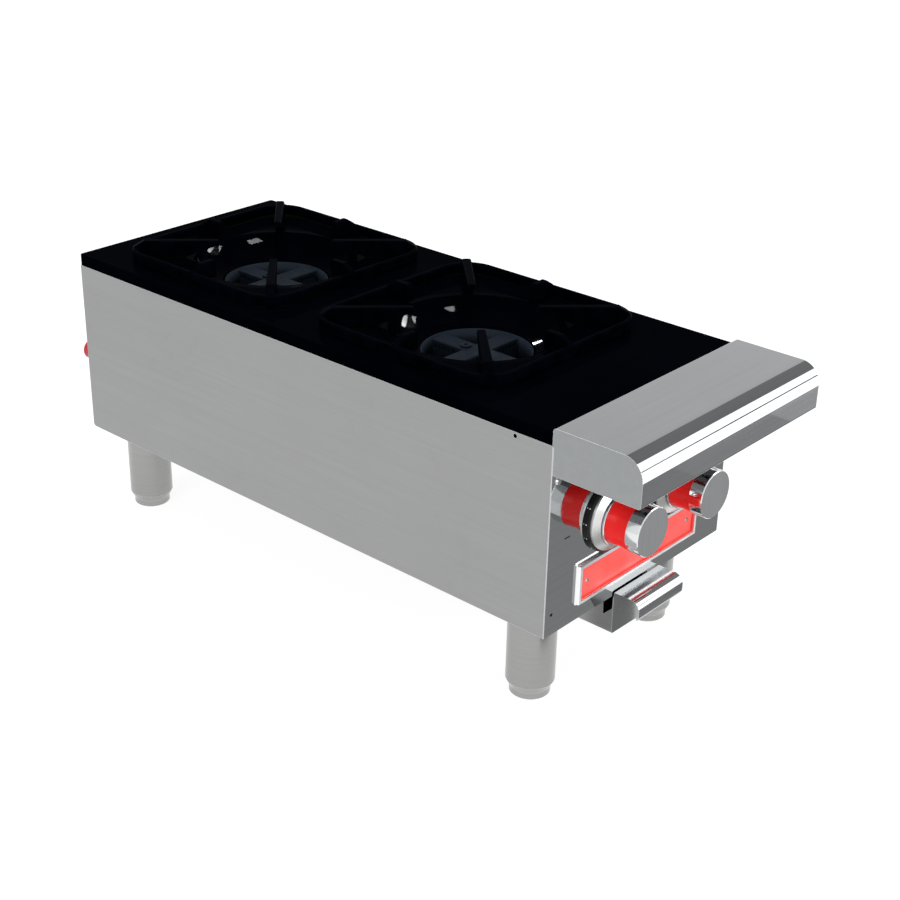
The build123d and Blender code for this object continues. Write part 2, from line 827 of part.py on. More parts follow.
with BuildPart() as badge_frame:
    with BuildSketch(front_plane(panel_y, x=badge_x, z=badge_z)):
        RectangleRounded(*badge_size, badge_corner_r)
    extrude(amount=badge_rise, taper=badge_bevel)
    with BuildSketch(front_plane(panel_y, x=badge_x, z=badge_z)):
        Rectangle(*badge_opening)
    extrude(amount=badge_rise, mode=Mode.SUBTRACT)
save(badge_frame, "badge_frame")

with BuildPart() as badge_plate:
    with BuildSketch(front_plane(panel_y, x=badge_x, z=badge_z)):
        Rectangle(*badge_tray)
    extrude(amount=badge_rise - badge_lip)
    with BuildSketch(front_plane(panel_y - badge_field, x=badge_x, z=badge_z)):
        Rectangle(badge_tray[0] - 2 * badge_wall, badge_tray[1] - 2 * badge_wall)
    extrude(amount=badge_rise, mode=Mode.SUBTRACT)
    with BuildSketch(front_plane(panel_y, x=badge_x, z=badge_z)):
        with Locations((-rivet_x, 0), (rivet_x, 0)):
            Circle(rivet_shank_r + screw_gap)
    extrude(amount=badge_rise, mode=Mode.SUBTRACT)
save(badge_plate, "badge_plate")

with BuildPart() as badge_rivets:
    for centre_x in (badge_x - rivet_x, badge_x + rivet_x):
        with BuildSketch(front_plane(panel_y, x=centre_x, z=badge_z)):
            Circle(rivet_shank_r)
        extrude(amount=badge_field)
        with BuildSketch(front_plane(panel_y - badge_field, x=centre_x, z=badge_z)):
            Circle(rivet_r)
        extrude(amount=rivet_rise, taper=rivet_taper)
save(badge_rivets, "badge_rivets")


# Drip drawer: a long trough whose inward flanges hang on two rails under the base pan
trough_lead = 1.2
trough_front_y = panel_y - trough_lead
trough_rear_y = trough_front_y + drawer_length
trough_top = 100.4
flange_inner = 28.0
rear_wall_top = 94.0
flange_cut = 4 * sheet
relief = ((0.0, 101.0), (12.0, 101.0), (11.0, 75.0), (0.0, 86.0))

with BuildPart() as drip_drawer:
    with BuildSketch(front_plane(trough_rear_y)):
        with Locations((0, (drawer_bottom + trough_top) / 2)):
            Rectangle(2 * drawer_half, trough_top - drawer_bottom)
    extrude(amount=drawer_length)
    with BuildSketch(front_plane(trough_rear_y - sheet)):
        with Locations((0, (drawer_bottom + trough_top) / 2)):
            Rectangle(2 * (drawer_half - sheet), trough_top - drawer_bottom - 2 * sheet)
    extrude(amount=drawer_length - 2 * sheet, mode=Mode.SUBTRACT)
    with BuildSketch(front_plane(trough_rear_y - sheet)):
        with Locations((0, trough_top)):
            Rectangle(2 * flange_inner, flange_cut)
    extrude(amount=drawer_length - 2 * sheet, mode=Mode.SUBTRACT)
    with BuildSketch(front_plane(trough_rear_y)):
        with Locations((0, (rear_wall_top + trough_top - sheet) / 2)):
            Rectangle(2 * (drawer_half - sheet), trough_top - sheet - rear_wall_top)
        with Locations((0, trough_top)):
            Rectangle(2 * flange_inner, flange_cut)
    extrude(amount=sheet, mode=Mode.SUBTRACT)
    with BuildSketch(side_plane(0)):
        with BuildLine():
            Polyline(*[(trough_front_y + sheet + y, z) for y, z in relief], close=True)
        make_face()
    extrude(amount=2 * drawer_half, both=True, mode=Mode.SUBTRACT)
save(drip_drawer, "drip_drawer")


# Drawer handle: front plate folded over into a bullnose with a curled lip, and wedge-shaped
# closed ends
handle_half = 39.0
plate_rear = -1.2
plate_front = -2.4
handle_top = 105.6
handle_reach = 33.1
handle_lip = 91.0
handle_nose_r = 11.0
handle_open_z = 56.5
curl = ((33.1, 91.2), (32.9, 87.5), (31.3, 84.4), (30.2, 84.9), (31.7, 88.0), (31.9, 91.2))

with BuildPart() as drawer_handle:
    with BuildSketch(side_plane(0)):
        with BuildLine():
            rear = panel_y + plate_rear
            front = panel_y - handle_reach
            nose = RadiusArc(
                (front + handle_nose_r, handle_top), (front, handle_top - handle_nose_r), -handle_nose_r
            )
            Polyline(
                nose @ 1,
                (front, handle_lip),
                (panel_y + plate_front, drawer_bottom),
                (rear, drawer_bottom),
                (rear, handle_top),
                nose @ 0,
            )
        make_face()
    extrude(amount=handle_half, both=True)
    with BuildSketch(side_plane(0)):
        with BuildLine():
            back = panel_y + plate_front
            lip = panel_y - handle_reach + sheet
            under = handle_top - sheet
            bend = handle_nose_r - sheet
            hollow = RadiusArc((lip + bend, under), (lip, under - bend), -bend)
            Polyline(hollow @ 1, (lip, handle_open_z), (back, handle_open_z), (back, under), hollow @ 0)
        make_face()
    extrude(amount=handle_half - sheet, both=True, mode=Mode.SUBTRACT)
    with BuildSketch(side_plane(0)):
        with BuildLine():
            Polyline(*[(panel_y - reach, z) for reach, z in curl], close=True)
        make_face()
    extrude(amount=handle_half, both=True)
save(drawer_handle, "drawer_handle")


# Drawer rails: two folded strips whose outward lips carry the drawer flanges
rail_web = 24.0
rail_lip = 36.5
rail_lip_z = 97.8
rail_flange = 34.0
rail_y = (panel_y + 8.0, panel_y + 618.0)

with BuildPart() as drawer_rails:
    for sign in (-1, 1):
        with BuildSketch(front_plane(rail_y[1])):
            with BuildLine():
                Polyline(
                    (sign * rail_web, rail_lip_z),
                    (sign * rail_lip, rail_lip_z),
                    (sign * rail_lip, rail_lip_z + sheet),
                    (sign * (rail_web + sheet), rail_lip_z + sheet),
                    (sign * (rail_web + sheet), pan_bottom - sheet),
                    (sign * rail_flange, pan_bottom - sheet),
                    (sign * rail_flange, pan_bottom),
                    (sign * rail_web, pan_bottom),
                    close=True,
                )
            make_face()
        extrude(amount=rail_y[1] - rail_y[0])
save(drawer_rails, "drawer_rails")


# Legs: hollow round legs with a threaded hub below and a stud above, and screw feet
leg_bottom = 16.5
leg_wall = 1.6
leg_floor = 4.0
leg_crown = 3.0
hub_r = 12.5
hub_top = 52.0
foot_stud_r = 8.0
foot_fit = 0.06
foot_gap = 0.2
foot_r = 21.5
foot_edge = 1.2
foot_pad_top = 7.7
foot_stud_top = 64.0
foot_stud_edge = 1.0
stud_top = 120.0
plate_size = 56.0
plate_wall = 4.0


def revolved(centre_x, centre_y, *points):
    """Revolve a closed section about a vertical axis; points are (radius, height)."""
    with BuildPart() as turning:
        with BuildSketch(Plane(origin=(centre_x, centre_y, 0), x_dir=(1, 0, 0), z_dir=(0, -1, 0))):
            with BuildLine():
                Polyline(*points, close=True)
            make_face()
        revolve(axis=Axis((centre_x, centre_y, 0), (0, 0, 1)))
    return turning


for row, centre_y in leg_y.items():
    for side, centre_x in leg_x.items():
        bore = foot_stud_r + foot_fit
        leg = revolved(
            centre_x, centre_y,
            (bore, leg_bottom), (leg_r, leg_bottom), (leg_r, pan_bottom), (stud_r, pan_bottom),
            (stud_r, stud_top), (0, stud_top), (0, pan_bottom - leg_crown),
            (leg_r - leg_wall, pan_bottom - leg_crown), (leg_r - leg_wall, leg_bottom + leg_floor),
            (hub_r, leg_bottom + leg_floor), (hub_r, hub_top), (bore, hub_top),
        )
        save(leg, f"leg_{row}_{side}")
        foot = revolved(
            centre_x, centre_y,
            (0, 0), (foot_r - foot_edge, 0), (foot_r, foot_edge), (foot_r, foot_pad_top),
            (leg_r, leg_bottom - foot_gap), (foot_stud_r, leg_bottom - foot_gap),
            (foot_stud_r, foot_stud_top - foot_stud_edge),
            (foot_stud_r - foot_stud_edge, foot_stud_top), (0, foot_stud_top),
        )
        save(foot, f"foot_{row}_{side}")

with BuildPart() as leg_plates:
    for centre_y in leg_y.values():
        for centre_x in leg_x.values():
            with BuildSketch(Plane((centre_x, centre_y, pan_top))):
                Rectangle(plate_size, plate_size)
                Circle(stud_r + screw_gap, mode=Mode.SUBTRACT)
            extrude(amount=plate_wall)
save(leg_plates, "leg_plates")


# Inlet cap: a red protector cup pushed over the inlet nipple
cap_wall = 1.6
cap_floor = 2.0
cap_fit = 0.05
cap_corner = 1.2
cap_mouth_y = rear_y + 7.0

with BuildPart() as inlet_cap:
    with BuildSketch(front_plane(rear_y + inlet_reach, x=inlet_x, z=inlet_z)):
        Circle(pipe_r + cap_wall)
    extrude(amount=rear_y + inlet_reach - cap_mouth_y)
    chamfer(inlet_cap.faces().sort_by(Axis.Y)[-1].edges(), length=cap_corner)
    with BuildSketch(front_plane(rear_y + inlet_reach - cap_floor, x=inlet_x, z=inlet_z)):
        Circle(pipe_r + cap_fit)
    extrude(amount=rear_y + inlet_reach - cap_floor - cap_mouth_y, mode=Mode.SUBTRACT)
save(inlet_cap, "inlet_cap")


# Panel screws: pan heads on the front panel and on the rear flanges
head_r = 3.8
head_rise = 1.8
head_taper = 25
shank = 6.0

with BuildPart() as panel_screws:
    for sign in (-1, 1):
        with BuildSketch(front_plane(panel_y + shank, x=sign * front_screw_x, z=front_screw_z)):
            Circle(screw_r)
        extrude(amount=shank)
        with BuildSketch(front_plane(panel_y, x=sign * front_screw_x, z=front_screw_z)):
            Circle(head_r)
        extrude(amount=head_rise, taper=head_taper)
        for screw_z in rear_screw_z:
            with BuildSketch(front_plane(rear_y, x=sign * rear_screw_x, z=screw_z)):
                Circle(screw_r)
            extrude(amount=shank)
            with BuildSketch(front_plane(rear_y, x=sign * rear_screw_x, z=screw_z)):
                Circle(head_r)
            extrude(amount=-head_rise, taper=head_taper)
save(panel_screws, "panel_screws")
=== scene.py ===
import math

import bmesh
import bpy
from mathutils import Matrix, Quaternion, Vector


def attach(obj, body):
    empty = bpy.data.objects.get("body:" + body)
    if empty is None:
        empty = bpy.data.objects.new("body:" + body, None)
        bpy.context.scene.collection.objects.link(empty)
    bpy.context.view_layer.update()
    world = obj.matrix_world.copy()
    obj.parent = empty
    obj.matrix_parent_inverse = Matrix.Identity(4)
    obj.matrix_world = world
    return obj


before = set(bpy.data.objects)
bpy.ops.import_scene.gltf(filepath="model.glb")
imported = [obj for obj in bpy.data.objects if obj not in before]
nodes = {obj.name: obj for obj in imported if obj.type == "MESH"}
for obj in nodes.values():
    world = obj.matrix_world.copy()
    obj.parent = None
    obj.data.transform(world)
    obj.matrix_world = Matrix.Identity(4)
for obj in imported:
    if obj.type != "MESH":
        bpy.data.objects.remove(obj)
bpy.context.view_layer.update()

# The camera stands to the left of the stove, a little above the deck, as the photograph
# was taken. Its place and turn come from the straight edges of the body.
camera_place = Vector((-1.2166, -1.1203, 0.9479))
camera_azimuth = math.radians(-48.94)
camera_height_angle = math.radians(25.86)
camera_roll = math.radians(1.263)
camera_back = Vector((
    math.sin(camera_azimuth) * math.cos(camera_height_angle),
    -math.cos(camera_azimuth) * math.cos(camera_height_angle),
    math.sin(camera_height_angle),
))
camera_data = bpy.data.cameras.new("camera")
camera_data.lens = 64.31
camera_data.sensor_width = 36.0
camera = bpy.data.objects.new("camera", camera_data)
bpy.context.scene.collection.objects.link(camera)
camera.location = camera_place
camera.rotation_mode = "QUATERNION"
camera.rotation_quaternion = (
    (-camera_back).to_track_quat("-Z", "Y") @ Quaternion((0, 0, 1), camera_roll)
)
bpy.context.scene.camera = camera

# The studio: a white sweep with a soft shadow under a white sky.
# Camera, mirror and clear rays see plain white, and diffuse rays a dimmer one.
bpy.context.scene.view_settings.view_transform = "Standard"


def fresh_material(name):
    """An empty node material and its node tree."""
    material = bpy.data.materials.new(name)
    material.use_nodes = True
    material.node_tree.nodes.clear()
    return material, material.node_tree


def seen_directly(tree):
    """A value of 1 for camera, mirror and clear rays, and 0 for diffuse ones."""
    path = tree.nodes.new("ShaderNodeLightPath")
    first = tree.nodes.new("ShaderNodeMath")
    first.operation = "MAXIMUM"
    second = tree.nodes.new("ShaderNodeMath")
    second.operation = "MAXIMUM"
    tree.links.new(path.outputs["Is Camera Ray"], first.inputs[0])
    tree.links.new(path.outputs["Is Glossy Ray"], first.inputs[1])
    tree.links.new(first.outputs[0], second.inputs[0])
    tree.links.new(path.outputs["Is Transmission Ray"], second.inputs[1])
    return second.outputs[0]


room_dim = 0.55
room_full = 1.0
world = bpy.data.worlds.new("studio")
world.use_nodes = True
world.node_tree.nodes.clear()
room_light = world.node_tree.nodes.new("ShaderNodeBackground")
room_light.inputs["Color"].default_value = (1.0, 1.0, 1.0, 1.0)
room_light.inputs["Strength"].default_value = room_dim
room_white = world.node_tree.nodes.new("ShaderNodeBackground")
room_white.inputs["Color"].default_value = (1.0, 1.0, 1.0, 1.0)
room_white.inputs["Strength"].default_value = room_full
room_mix = world.node_tree.nodes.new("ShaderNodeMixShader")
room_out = world.node_tree.nodes.new("ShaderNodeOutputWorld")
world.node_tree.links.new(seen_directly(world.node_tree), room_mix.inputs["Fac"])
world.node_tree.links.new(room_light.outputs[0], room_mix.inputs[1])
world.node_tree.links.new(room_white.outputs[0], room_mix.inputs[2])
world.node_tree.links.new(room_mix.outputs[0], room_out.inputs["Surface"])
bpy.context.scene.world = world


def flat_sheet(name, corners):
    """A stage sheet with the given corners."""
    mesh = bpy.data.meshes.new(name)
    mesh.from_pydata([Vector(c) for c in corners], [], [tuple(range(len(corners)))])
    sheet = bpy.data.objects.new(name, mesh)
    bpy.context.scene.collection.objects.link(sheet)
    return sheet


floor_half = 6.0
floor_own_light = 0.88
floor_shadow_grey = (0.26, 0.26, 0.26, 1.0)
floor_bounce_grey = (0.75, 0.75, 0.75, 1.0)
floor = flat_sheet("floor", [
    (-floor_half, -floor_half, 0), (floor_half, -floor_half, 0),
    (floor_half, floor_half, 0), (-floor_half, floor_half, 0),
])
floor_finish, floor_tree = fresh_material("floor_paper")
floor_glow = floor_tree.nodes.new("ShaderNodeEmission")
floor_glow.inputs["Strength"].default_value = floor_own_light
floor_paper = floor_tree.nodes.new("ShaderNodeBsdfDiffuse")
floor_paper.inputs["Color"].default_value = floor_shadow_grey
floor_plain = floor_tree.nodes.new("ShaderNodeBsdfDiffuse")
floor_plain.inputs["Color"].default_value = floor_bounce_grey
floor_add = floor_tree.nodes.new("ShaderNodeAddShader")
floor_mix = floor_tree.nodes.new("ShaderNodeMixShader")
floor_out = floor_tree.nodes.new("ShaderNodeOutputMaterial")
floor_tree.links.new(floor_glow.outputs[0], floor_add.inputs[0])
floor_tree.links.new(floor_paper.outputs[0], floor_add.inputs[1])
floor_tree.links.new(seen_directly(floor_tree), floor_mix.inputs["Fac"])
floor_tree.links.new(floor_plain.outputs[0], floor_mix.inputs[1])
floor_tree.links.new(floor_add.outputs[0], floor_mix.inputs[2])
floor_tree.links.new(floor_mix.outputs[0], floor_out.inputs["Surface"])
floor.data.materials.append(floor_finish)

# Lamps: large soft ones overhead, at the left and in front, and three that only the glossy
# bowls mirror, which draw the white window shapes in the black enamel.


def soft_lamp(name, place, aim, width, height, power):
    """A large square lamp at place, pointing at aim."""
    data = bpy.data.lights.new(name, "AREA")
    data.shape = "RECTANGLE"
    data.size = width
    data.size_y = height
    data.energy = power
    lamp = bpy.data.objects.new(name, data)
    lamp.location = place
    lamp.rotation_mode = "QUATERNION"
    lamp.rotation_quaternion = (Vector(aim) - Vector(place)).to_track_quat("-Z", "Y")
    bpy.context.scene.collection.objects.link(lamp)
    return lamp


soft_lamp("lamp_over", place=(0.2, 0.1, 2.6), aim=(0, 0, 0), width=2.0, height=2.0, power=36)
soft_lamp("lamp_left", place=(-2.6, -0.6, 1.6), aim=(0, 0, 0.15), width=1.6, height=1.4, power=26)
soft_lamp("lamp_front", place=(0.9, -2.6, 0.9), aim=(0, -0.3, 0.2), width=1.6, height=1.2, power=34)

enamel_group = bpy.data.collections.new("mirroring_bowls")
for bowl_name in ("bowl_front", "bowl_rear"):
    enamel_group.objects.link(nodes[bowl_name])
bowl_aim = (0, 0, 0.3)
bowl_lamps = [
    ("bowl_lamp_over", (0.05, -1.02, 2.1), 0.60, 0.45, 2500),
    ("bowl_lamp_right", (1.62, -0.40, 1.25), 0.75, 0.6, 3000),
    ("bowl_lamp_behind", (1.06, 1.35, 1.28), 0.46, 0.08, 440),
]
for lamp_name, place, width, height, power in bowl_lamps:
    lamp = soft_lamp(lamp_name, place, bowl_aim, width, height, power)
    lamp.visible_diffuse = False
    lamp.light_linking.receiver_collection = enamel_group

# Cards that only mirror rays see, as a photographer puts them beside bright steel: a grey
# one on the floor in front, and a fan of dark and bright strips at the right. The bright
# ones light only the polished front pieces.
front_group = bpy.data.collections.new("polished_front")
for front_name in (
    "front_ledge", "front_panel", "drawer_handle", "badge_frame", "knob_cap_left", "knob_cap_right",
    "knob_left", "knob_right", "knob_collar_left", "knob_collar_right", "dial_ring_left", "dial_ring_right",
):
    front_group.objects.link(nodes[front_name])


def reflected_card(name, corners, grey):
    """A sheet of one brightness that only mirror rays see."""
    card = flat_sheet(name, corners)
    finish, tree = fresh_material(name)
    glow = tree.nodes.new("ShaderNodeEmission")
    glow.inputs["Strength"].default_value = grey
    out = tree.nodes.new("ShaderNodeOutputMaterial")
    tree.links.new(glow.outputs[0], out.inputs["Surface"])
    card.data.materials.append(finish)
    card.visible_camera = False
    card.visible_diffuse = False
    card.visible_shadow = False
    card.visible_transmission = False
    if grey > 1:
        card.light_linking.receiver_collection = front_group


card_height = 0.002
floor_cards = [
    ("card_floor_near", -0.16, 3.2, -0.405, -0.70, 0.36),
    ("card_floor_left", -0.16, 0.42, -0.70, -0.760, 0.50),
    ("card_floor_middle", 0.42, 0.66, -0.70, -0.760, 0.57),
    ("card_floor_right", 0.66, 3.2, -0.70, -0.760, 0.78),
    ("card_floor_far", 0.2, 1.6, -0.760, -3.2, 3.6),
]
for card_name, left, right, back, front, grey in floor_cards:
    reflected_card(card_name, [
        (left, back, card_height), (right, back, card_height),
        (right, front, card_height), (left, front, card_height),
    ], grey)
fan_x = 1.5
fan_centre = (-0.40, 0.306)
fan_inner = 0.8
fan_outer = 2.6
fan_steps = 6
fan_strips = [
    ("card_dark_top", 57, 123, 0.42),
    ("card_bright_top", 123, 162, 3.6),
    ("card_gap", 162, 166.5, 0.02),
    ("card_bright_front", 166.5, 214, 3.6),
]
for card_name, start, stop, grey in fan_strips:
    spread = [math.radians(start + (stop - start) * step / fan_steps) for step in range(fan_steps + 1)]
    rim = [
        (fan_x, fan_centre[0] + fan_outer * math.cos(a), fan_centre[1] + fan_outer * math.sin(a))
        for a in spread
    ]
    hub = [
        (fan_x, fan_centre[0] + fan_inner * math.cos(a), fan_centre[1] + fan_inner * math.sin(a))
        for a in reversed(spread)
    ]
    reflected_card(card_name, rim + hub, grey)

# Shared surface effects: each is a node group that gives values or heights over a surface.
# The finishes of the pieces below are mixed from them.


def effect_group(name, inputs, outputs):
    """An empty shader node group with float or vector inputs and float outputs."""
    tree = bpy.data.node_groups.new(name, "ShaderNodeTree")
    for label, kind, value in inputs:
        tree.interface.new_socket(label, in_out="INPUT", socket_type=kind).default_value = value
    for label in outputs:
        tree.interface.new_socket(label, in_out="OUTPUT", socket_type="NodeSocketFloat")
    return tree, tree.nodes.new("NodeGroupInput"), tree.nodes.new("NodeGroupOutput")


def math_node(tree, operation, first, second=None):
    """A math node fed by sockets or numbers; returns its output."""
    node = tree.nodes.new("ShaderNodeMath")
    node.operation = operation
    for slot, value in enumerate((first, second)):
        if value is None:
            continue
        if isinstance(value, (int, float)):
            node.inputs[slot].default_value = value
        else:
            tree.links.new(value, node.inputs[slot])
    return node.outputs[0]


def ranged(tree, value, from_low, from_high, to_low=0.0, to_high=1.0):
    """A clamped linear change of range."""
    node = tree.nodes.new("ShaderNodeMapRange")
    tree.links.new(value, node.inputs["Value"])
    node.inputs["From Min"].default_value = from_low
    node.inputs["From Max"].default_value = from_high
    node.inputs["To Min"].default_value = to_low
    node.inputs["To Max"].default_value = to_high
    return node.outputs["Result"]


def noise(tree, vector, scale, detail, rough=0.55):
    """A noise value over the given coordinates."""
    node = tree.nodes.new("ShaderNodeTexNoise")
    node.inputs["Scale"].default_value = scale
    node.inputs["Detail"].default_value = detail
    node.inputs["Roughness"].default_value = rough
    tree.links.new(vector, node.inputs["Vector"])
    return node.outputs["Fac"]


def object_place(tree):
    """The surface point in the object's own metres."""
    return tree.nodes.new("ShaderNodeTexCoord").outputs["Object"]


# Grain of brushed or rolled sheet: long fine streaks along the direction of least stretch
broad_streak_scale = 0.12
fine_streak_share = 0.65
broad_streak_share = 0.35
streak_span = (0.32, 0.68)
grain, grain_in, grain_out = effect_group(
    "sheet_grain", [("Stretch", "NodeSocketVector", (900.0, 9.0, 900.0))], ["Grain", "Height"]
)
grain_scale = grain.nodes.new("ShaderNodeVectorMath")
grain_scale.operation = "MULTIPLY"
grain.links.new(object_place(grain), grain_scale.inputs[0])
grain.links.new(grain_in.outputs["Stretch"], grain_scale.inputs[1])
fine_streaks = noise(grain, grain_scale.outputs[0], 1.0, 3.0)
broad_streaks = noise(grain, grain_scale.outputs[0], broad_streak_scale, 2.0)
streaks = math_node(grain, "MULTIPLY_ADD", fine_streaks, fine_streak_share)
grain.links.new(math_node(grain, "MULTIPLY", broad_streaks, broad_streak_share), streaks.node.inputs[2])
grain.links.new(ranged(grain, streaks, *streak_span), grain_out.inputs["Grain"])
grain.links.new(fine_streaks, grain_out.inputs["Height"])

# Hand marks: soft cloudy patches left by wiping and by fingers
cloud_span = (0.35, 0.68)
print_scale = 6.0
print_span = (0.56, 0.66)
print_area = (0.5, 0.62)
marks, marks_in, marks_out = effect_group(
    "hand_marks", [("Size", "NodeSocketFloat", 9.0)], ["Cloud", "Prints"]
)
marks_scale = marks.nodes.new("ShaderNodeVectorMath")
marks_scale.operation = "SCALE"
marks.links.new(object_place(marks), marks_scale.inputs[0])
marks.links.new(marks_in.outputs["Size"], marks_scale.inputs["Scale"])
cloud = noise(marks, marks_scale.outputs[0], 1.0, 4.0)
prints = noise(marks, marks_scale.outputs[0], print_scale, 2.0)
marks.links.new(ranged(marks, cloud, *cloud_span), marks_out.inputs["Cloud"])
print_mask = math_node(
    marks, "MULTIPLY", ranged(marks, prints, *print_span), ranged(marks, cloud, *print_area)
)
marks.links.new(print_mask, marks_out.inputs["Prints"])

# Edge mask: 1 where the surface turns sharply within the given radius, and 0 on the flat. Sheet steel uses
# it for a painted highlight along its edges, and the coats for edges rubbed by wear.
turn_span = (0.985, 0.86)
edge_wear_and_highlight, edge_mask_in, edge_mask_out = effect_group("edge_mask_wear_and_highlight", [("Radius", "NodeSocketFloat", 0.0006)], ["Edge"])
edge_mask_bevel = edge_wear_and_highlight.nodes.new("ShaderNodeBevel")
edge_mask_bevel.samples = 6
edge_wear_and_highlight.links.new(edge_mask_in.outputs["Radius"], edge_mask_bevel.inputs["Radius"])
edge_mask_normal = edge_wear_and_highlight.nodes.new("ShaderNodeNewGeometry").outputs["True Normal"]
edge_mask_dot = edge_wear_and_highlight.nodes.new("ShaderNodeVectorMath")
edge_mask_dot.operation = "DOT_PRODUCT"
edge_wear_and_highlight.links.new(edge_mask_bevel.outputs[0], edge_mask_dot.inputs[0])
edge_wear_and_highlight.links.new(edge_mask_normal, edge_mask_dot.inputs[1])
edge_wear_and_highlight.links.new(ranged(edge_wear_and_highlight, edge_mask_dot.outputs["Value"], *turn_span), edge_mask_out.inputs["Edge"])

# Settled dust: light specks, thickest on faces that look up
speck_span = (0.16, 0.05)
facing_up_span = (0.2, 0.9)
dust_patch_scale = 22.0
dust_patch_span = (0.48, 0.7)
dust, dust_in, dust_out = effect_group("settled_dust", [("Scale", "NodeSocketFloat", 900.0)], ["Specks"])
dust_cells = dust.nodes.new("ShaderNodeTexVoronoi")
dust.links.new(object_place(dust), dust_cells.inputs["Vector"])
dust.links.new(dust_in.outputs["Scale"], dust_cells.inputs["Scale"])
dust_dots = ranged(dust, dust_cells.outputs["Distance"], *speck_span)
dust_split = dust.nodes.new("ShaderNodeSeparateXYZ")
dust.links.new(dust.nodes.new("ShaderNodeNewGeometry").outputs["Normal"], dust_split.inputs[0])
dust_up = ranged(dust, dust_split.outputs["Z"], *facing_up_span)
dust_patch = ranged(dust, noise(dust, object_place(dust), dust_patch_scale, 3.0), *dust_patch_span)
dust_thin = math_node(dust, "MULTIPLY", dust_dots, dust_patch)
dust.links.new(math_node(dust, "MULTIPLY", dust_thin, dust_up), dust_out.inputs["Specks"])

# Cast skin: the fine sandy relief of cast iron and of thick enamel over it
sand_rough = 0.62
lump_scale = 0.14
lump_span = (0.35, 0.65)
skin, skin_in, skin_out = effect_group(
    "cast_skin", [("Scale", "NodeSocketFloat", 500.0)], ["Relief", "Tone"]
)
skin_scale = skin.nodes.new("ShaderNodeVectorMath")
skin_scale.operation = "SCALE"
skin.links.new(object_place(skin), skin_scale.inputs[0])
skin.links.new(skin_in.outputs["Scale"], skin_scale.inputs["Scale"])
skin_sand = noise(skin, skin_scale.outputs[0], 1.0, 5.0, sand_rough)
skin_lumps = noise(skin, skin_scale.outputs[0], lump_scale, 2.0)
skin.links.new(math_node(skin, "ADD", skin_sand, skin_lumps), skin_out.inputs["Relief"])
skin.links.new(ranged(skin, skin_lumps, *lump_span), skin_out.inputs["Tone"])

# Side panels: folded stainless sheet with a satin finish that runs front to back. A thin
# painted highlight lies along the folds. The other sheet pieces use the same tools.


def surface(name, metallic, specular=0.5):
    """A material with a Principled shader; returns the material, its tree and the shader."""
    material, tree = fresh_material(name)
    shader = tree.nodes.new("ShaderNodeBsdfPrincipled")
    shader.inputs["Metallic"].default_value = metallic
    shader.inputs["Specular IOR Level"].default_value = specular
    out = tree.nodes.new("ShaderNodeOutputMaterial")
    tree.links.new(shader.outputs[0], out.inputs["Surface"])
    return material, tree, shader


def effect(tree, group, **values):
    """A use of one of the shared effects in a material."""
    node = tree.nodes.new("ShaderNodeGroup")
    node.node_tree = group
    for label, value in values.items():
        node.inputs[label].default_value = value
    return node


def blend_colours(tree, mask, first, second):
    """A colour between two colours or colour sockets by a mask."""
    node = tree.nodes.new("ShaderNodeMix")
    node.data_type = "RGBA"
    tree.links.new(mask, node.inputs["Factor"])
    for label, value in (("A", first), ("B", second)):
        slot = next(s for s in node.inputs if s.name == label and s.type == "RGBA")
        if isinstance(value, tuple):
            slot.default_value = (*value, 1.0)
        else:
            tree.links.new(value, slot)
    return next(s for s in node.outputs if s.type == "RGBA")


def relief(tree, shader, height, depth):
    """Send a height into the shader's normal; depth is in metres."""
    bump = tree.nodes.new("ShaderNodeBump")
    bump.inputs["Distance"].default_value = depth
    tree.links.new(height, bump.inputs["Height"])
    tree.links.new(bump.outputs[0], shader.inputs["Normal"])


def steel(name, dark, light, rough, stretch, depth, rim, edge_highlight_radius=0.0006):
    """Brushed sheet: streaks between two greys, hand marks in the gloss and a painted highlight along sharp
    rims.
    """
    cloud_share = 0.35
    print_dullness = 0.06
    edge_highlight_grey = (0.95, 0.95, 0.95)
    material, tree, shader = surface(name, 1.0)
    streak = effect(tree, grain, Stretch=stretch)
    hands = effect(tree, marks)
    edges = effect(tree, edge_wear_and_highlight, Radius=edge_highlight_radius)
    body = blend_colours(tree, streak.outputs["Grain"], dark, light)
    cloudy = math_node(tree, "MULTIPLY", hands.outputs["Cloud"], cloud_share)
    hazed = blend_colours(tree, cloudy, body, dark)
    # Sharp rims are blended toward a pale grey: a painted highlight along the edges, not wear.
    worn = math_node(tree, "MULTIPLY", edges.outputs["Edge"], rim)
    tree.links.new(blend_colours(tree, worn, hazed, edge_highlight_grey), shader.inputs["Base Color"])
    gloss = math_node(tree, "MULTIPLY_ADD", hands.outputs["Prints"], print_dullness)
    tree.links.new(ranged(tree, streak.outputs["Grain"], 0, 1, *rough), gloss.node.inputs[2])
    tree.links.new(gloss, shader.inputs["Roughness"])
    relief(tree, shader, streak.outputs["Height"], depth)
    return material


def dress(material, *names):
    """Give CAD nodes a finish."""
    for name in names:
        nodes[name].material_slots[0].material = material


def round_edges(width, *names):
    """Break the hard edges of CAD nodes as folding, casting or polishing leaves them."""
    same_point = 0.000005
    sharp_angle = math.radians(40)
    for name in names:
        weld = nodes[name].modifiers.new("weld", "WELD")
        weld.merge_threshold = same_point
        bevel = nodes[name].modifiers.new("broken_edges", "BEVEL")
        bevel.width = width
        bevel.segments = 2
        bevel.limit_method = "ANGLE"
        bevel.angle_limit = sharp_angle
        bevel.use_clamp_overlap = True
        normals = nodes[name].modifiers.new("even_shading", "WEIGHTED_NORMAL")
        normals.keep_sharp = True


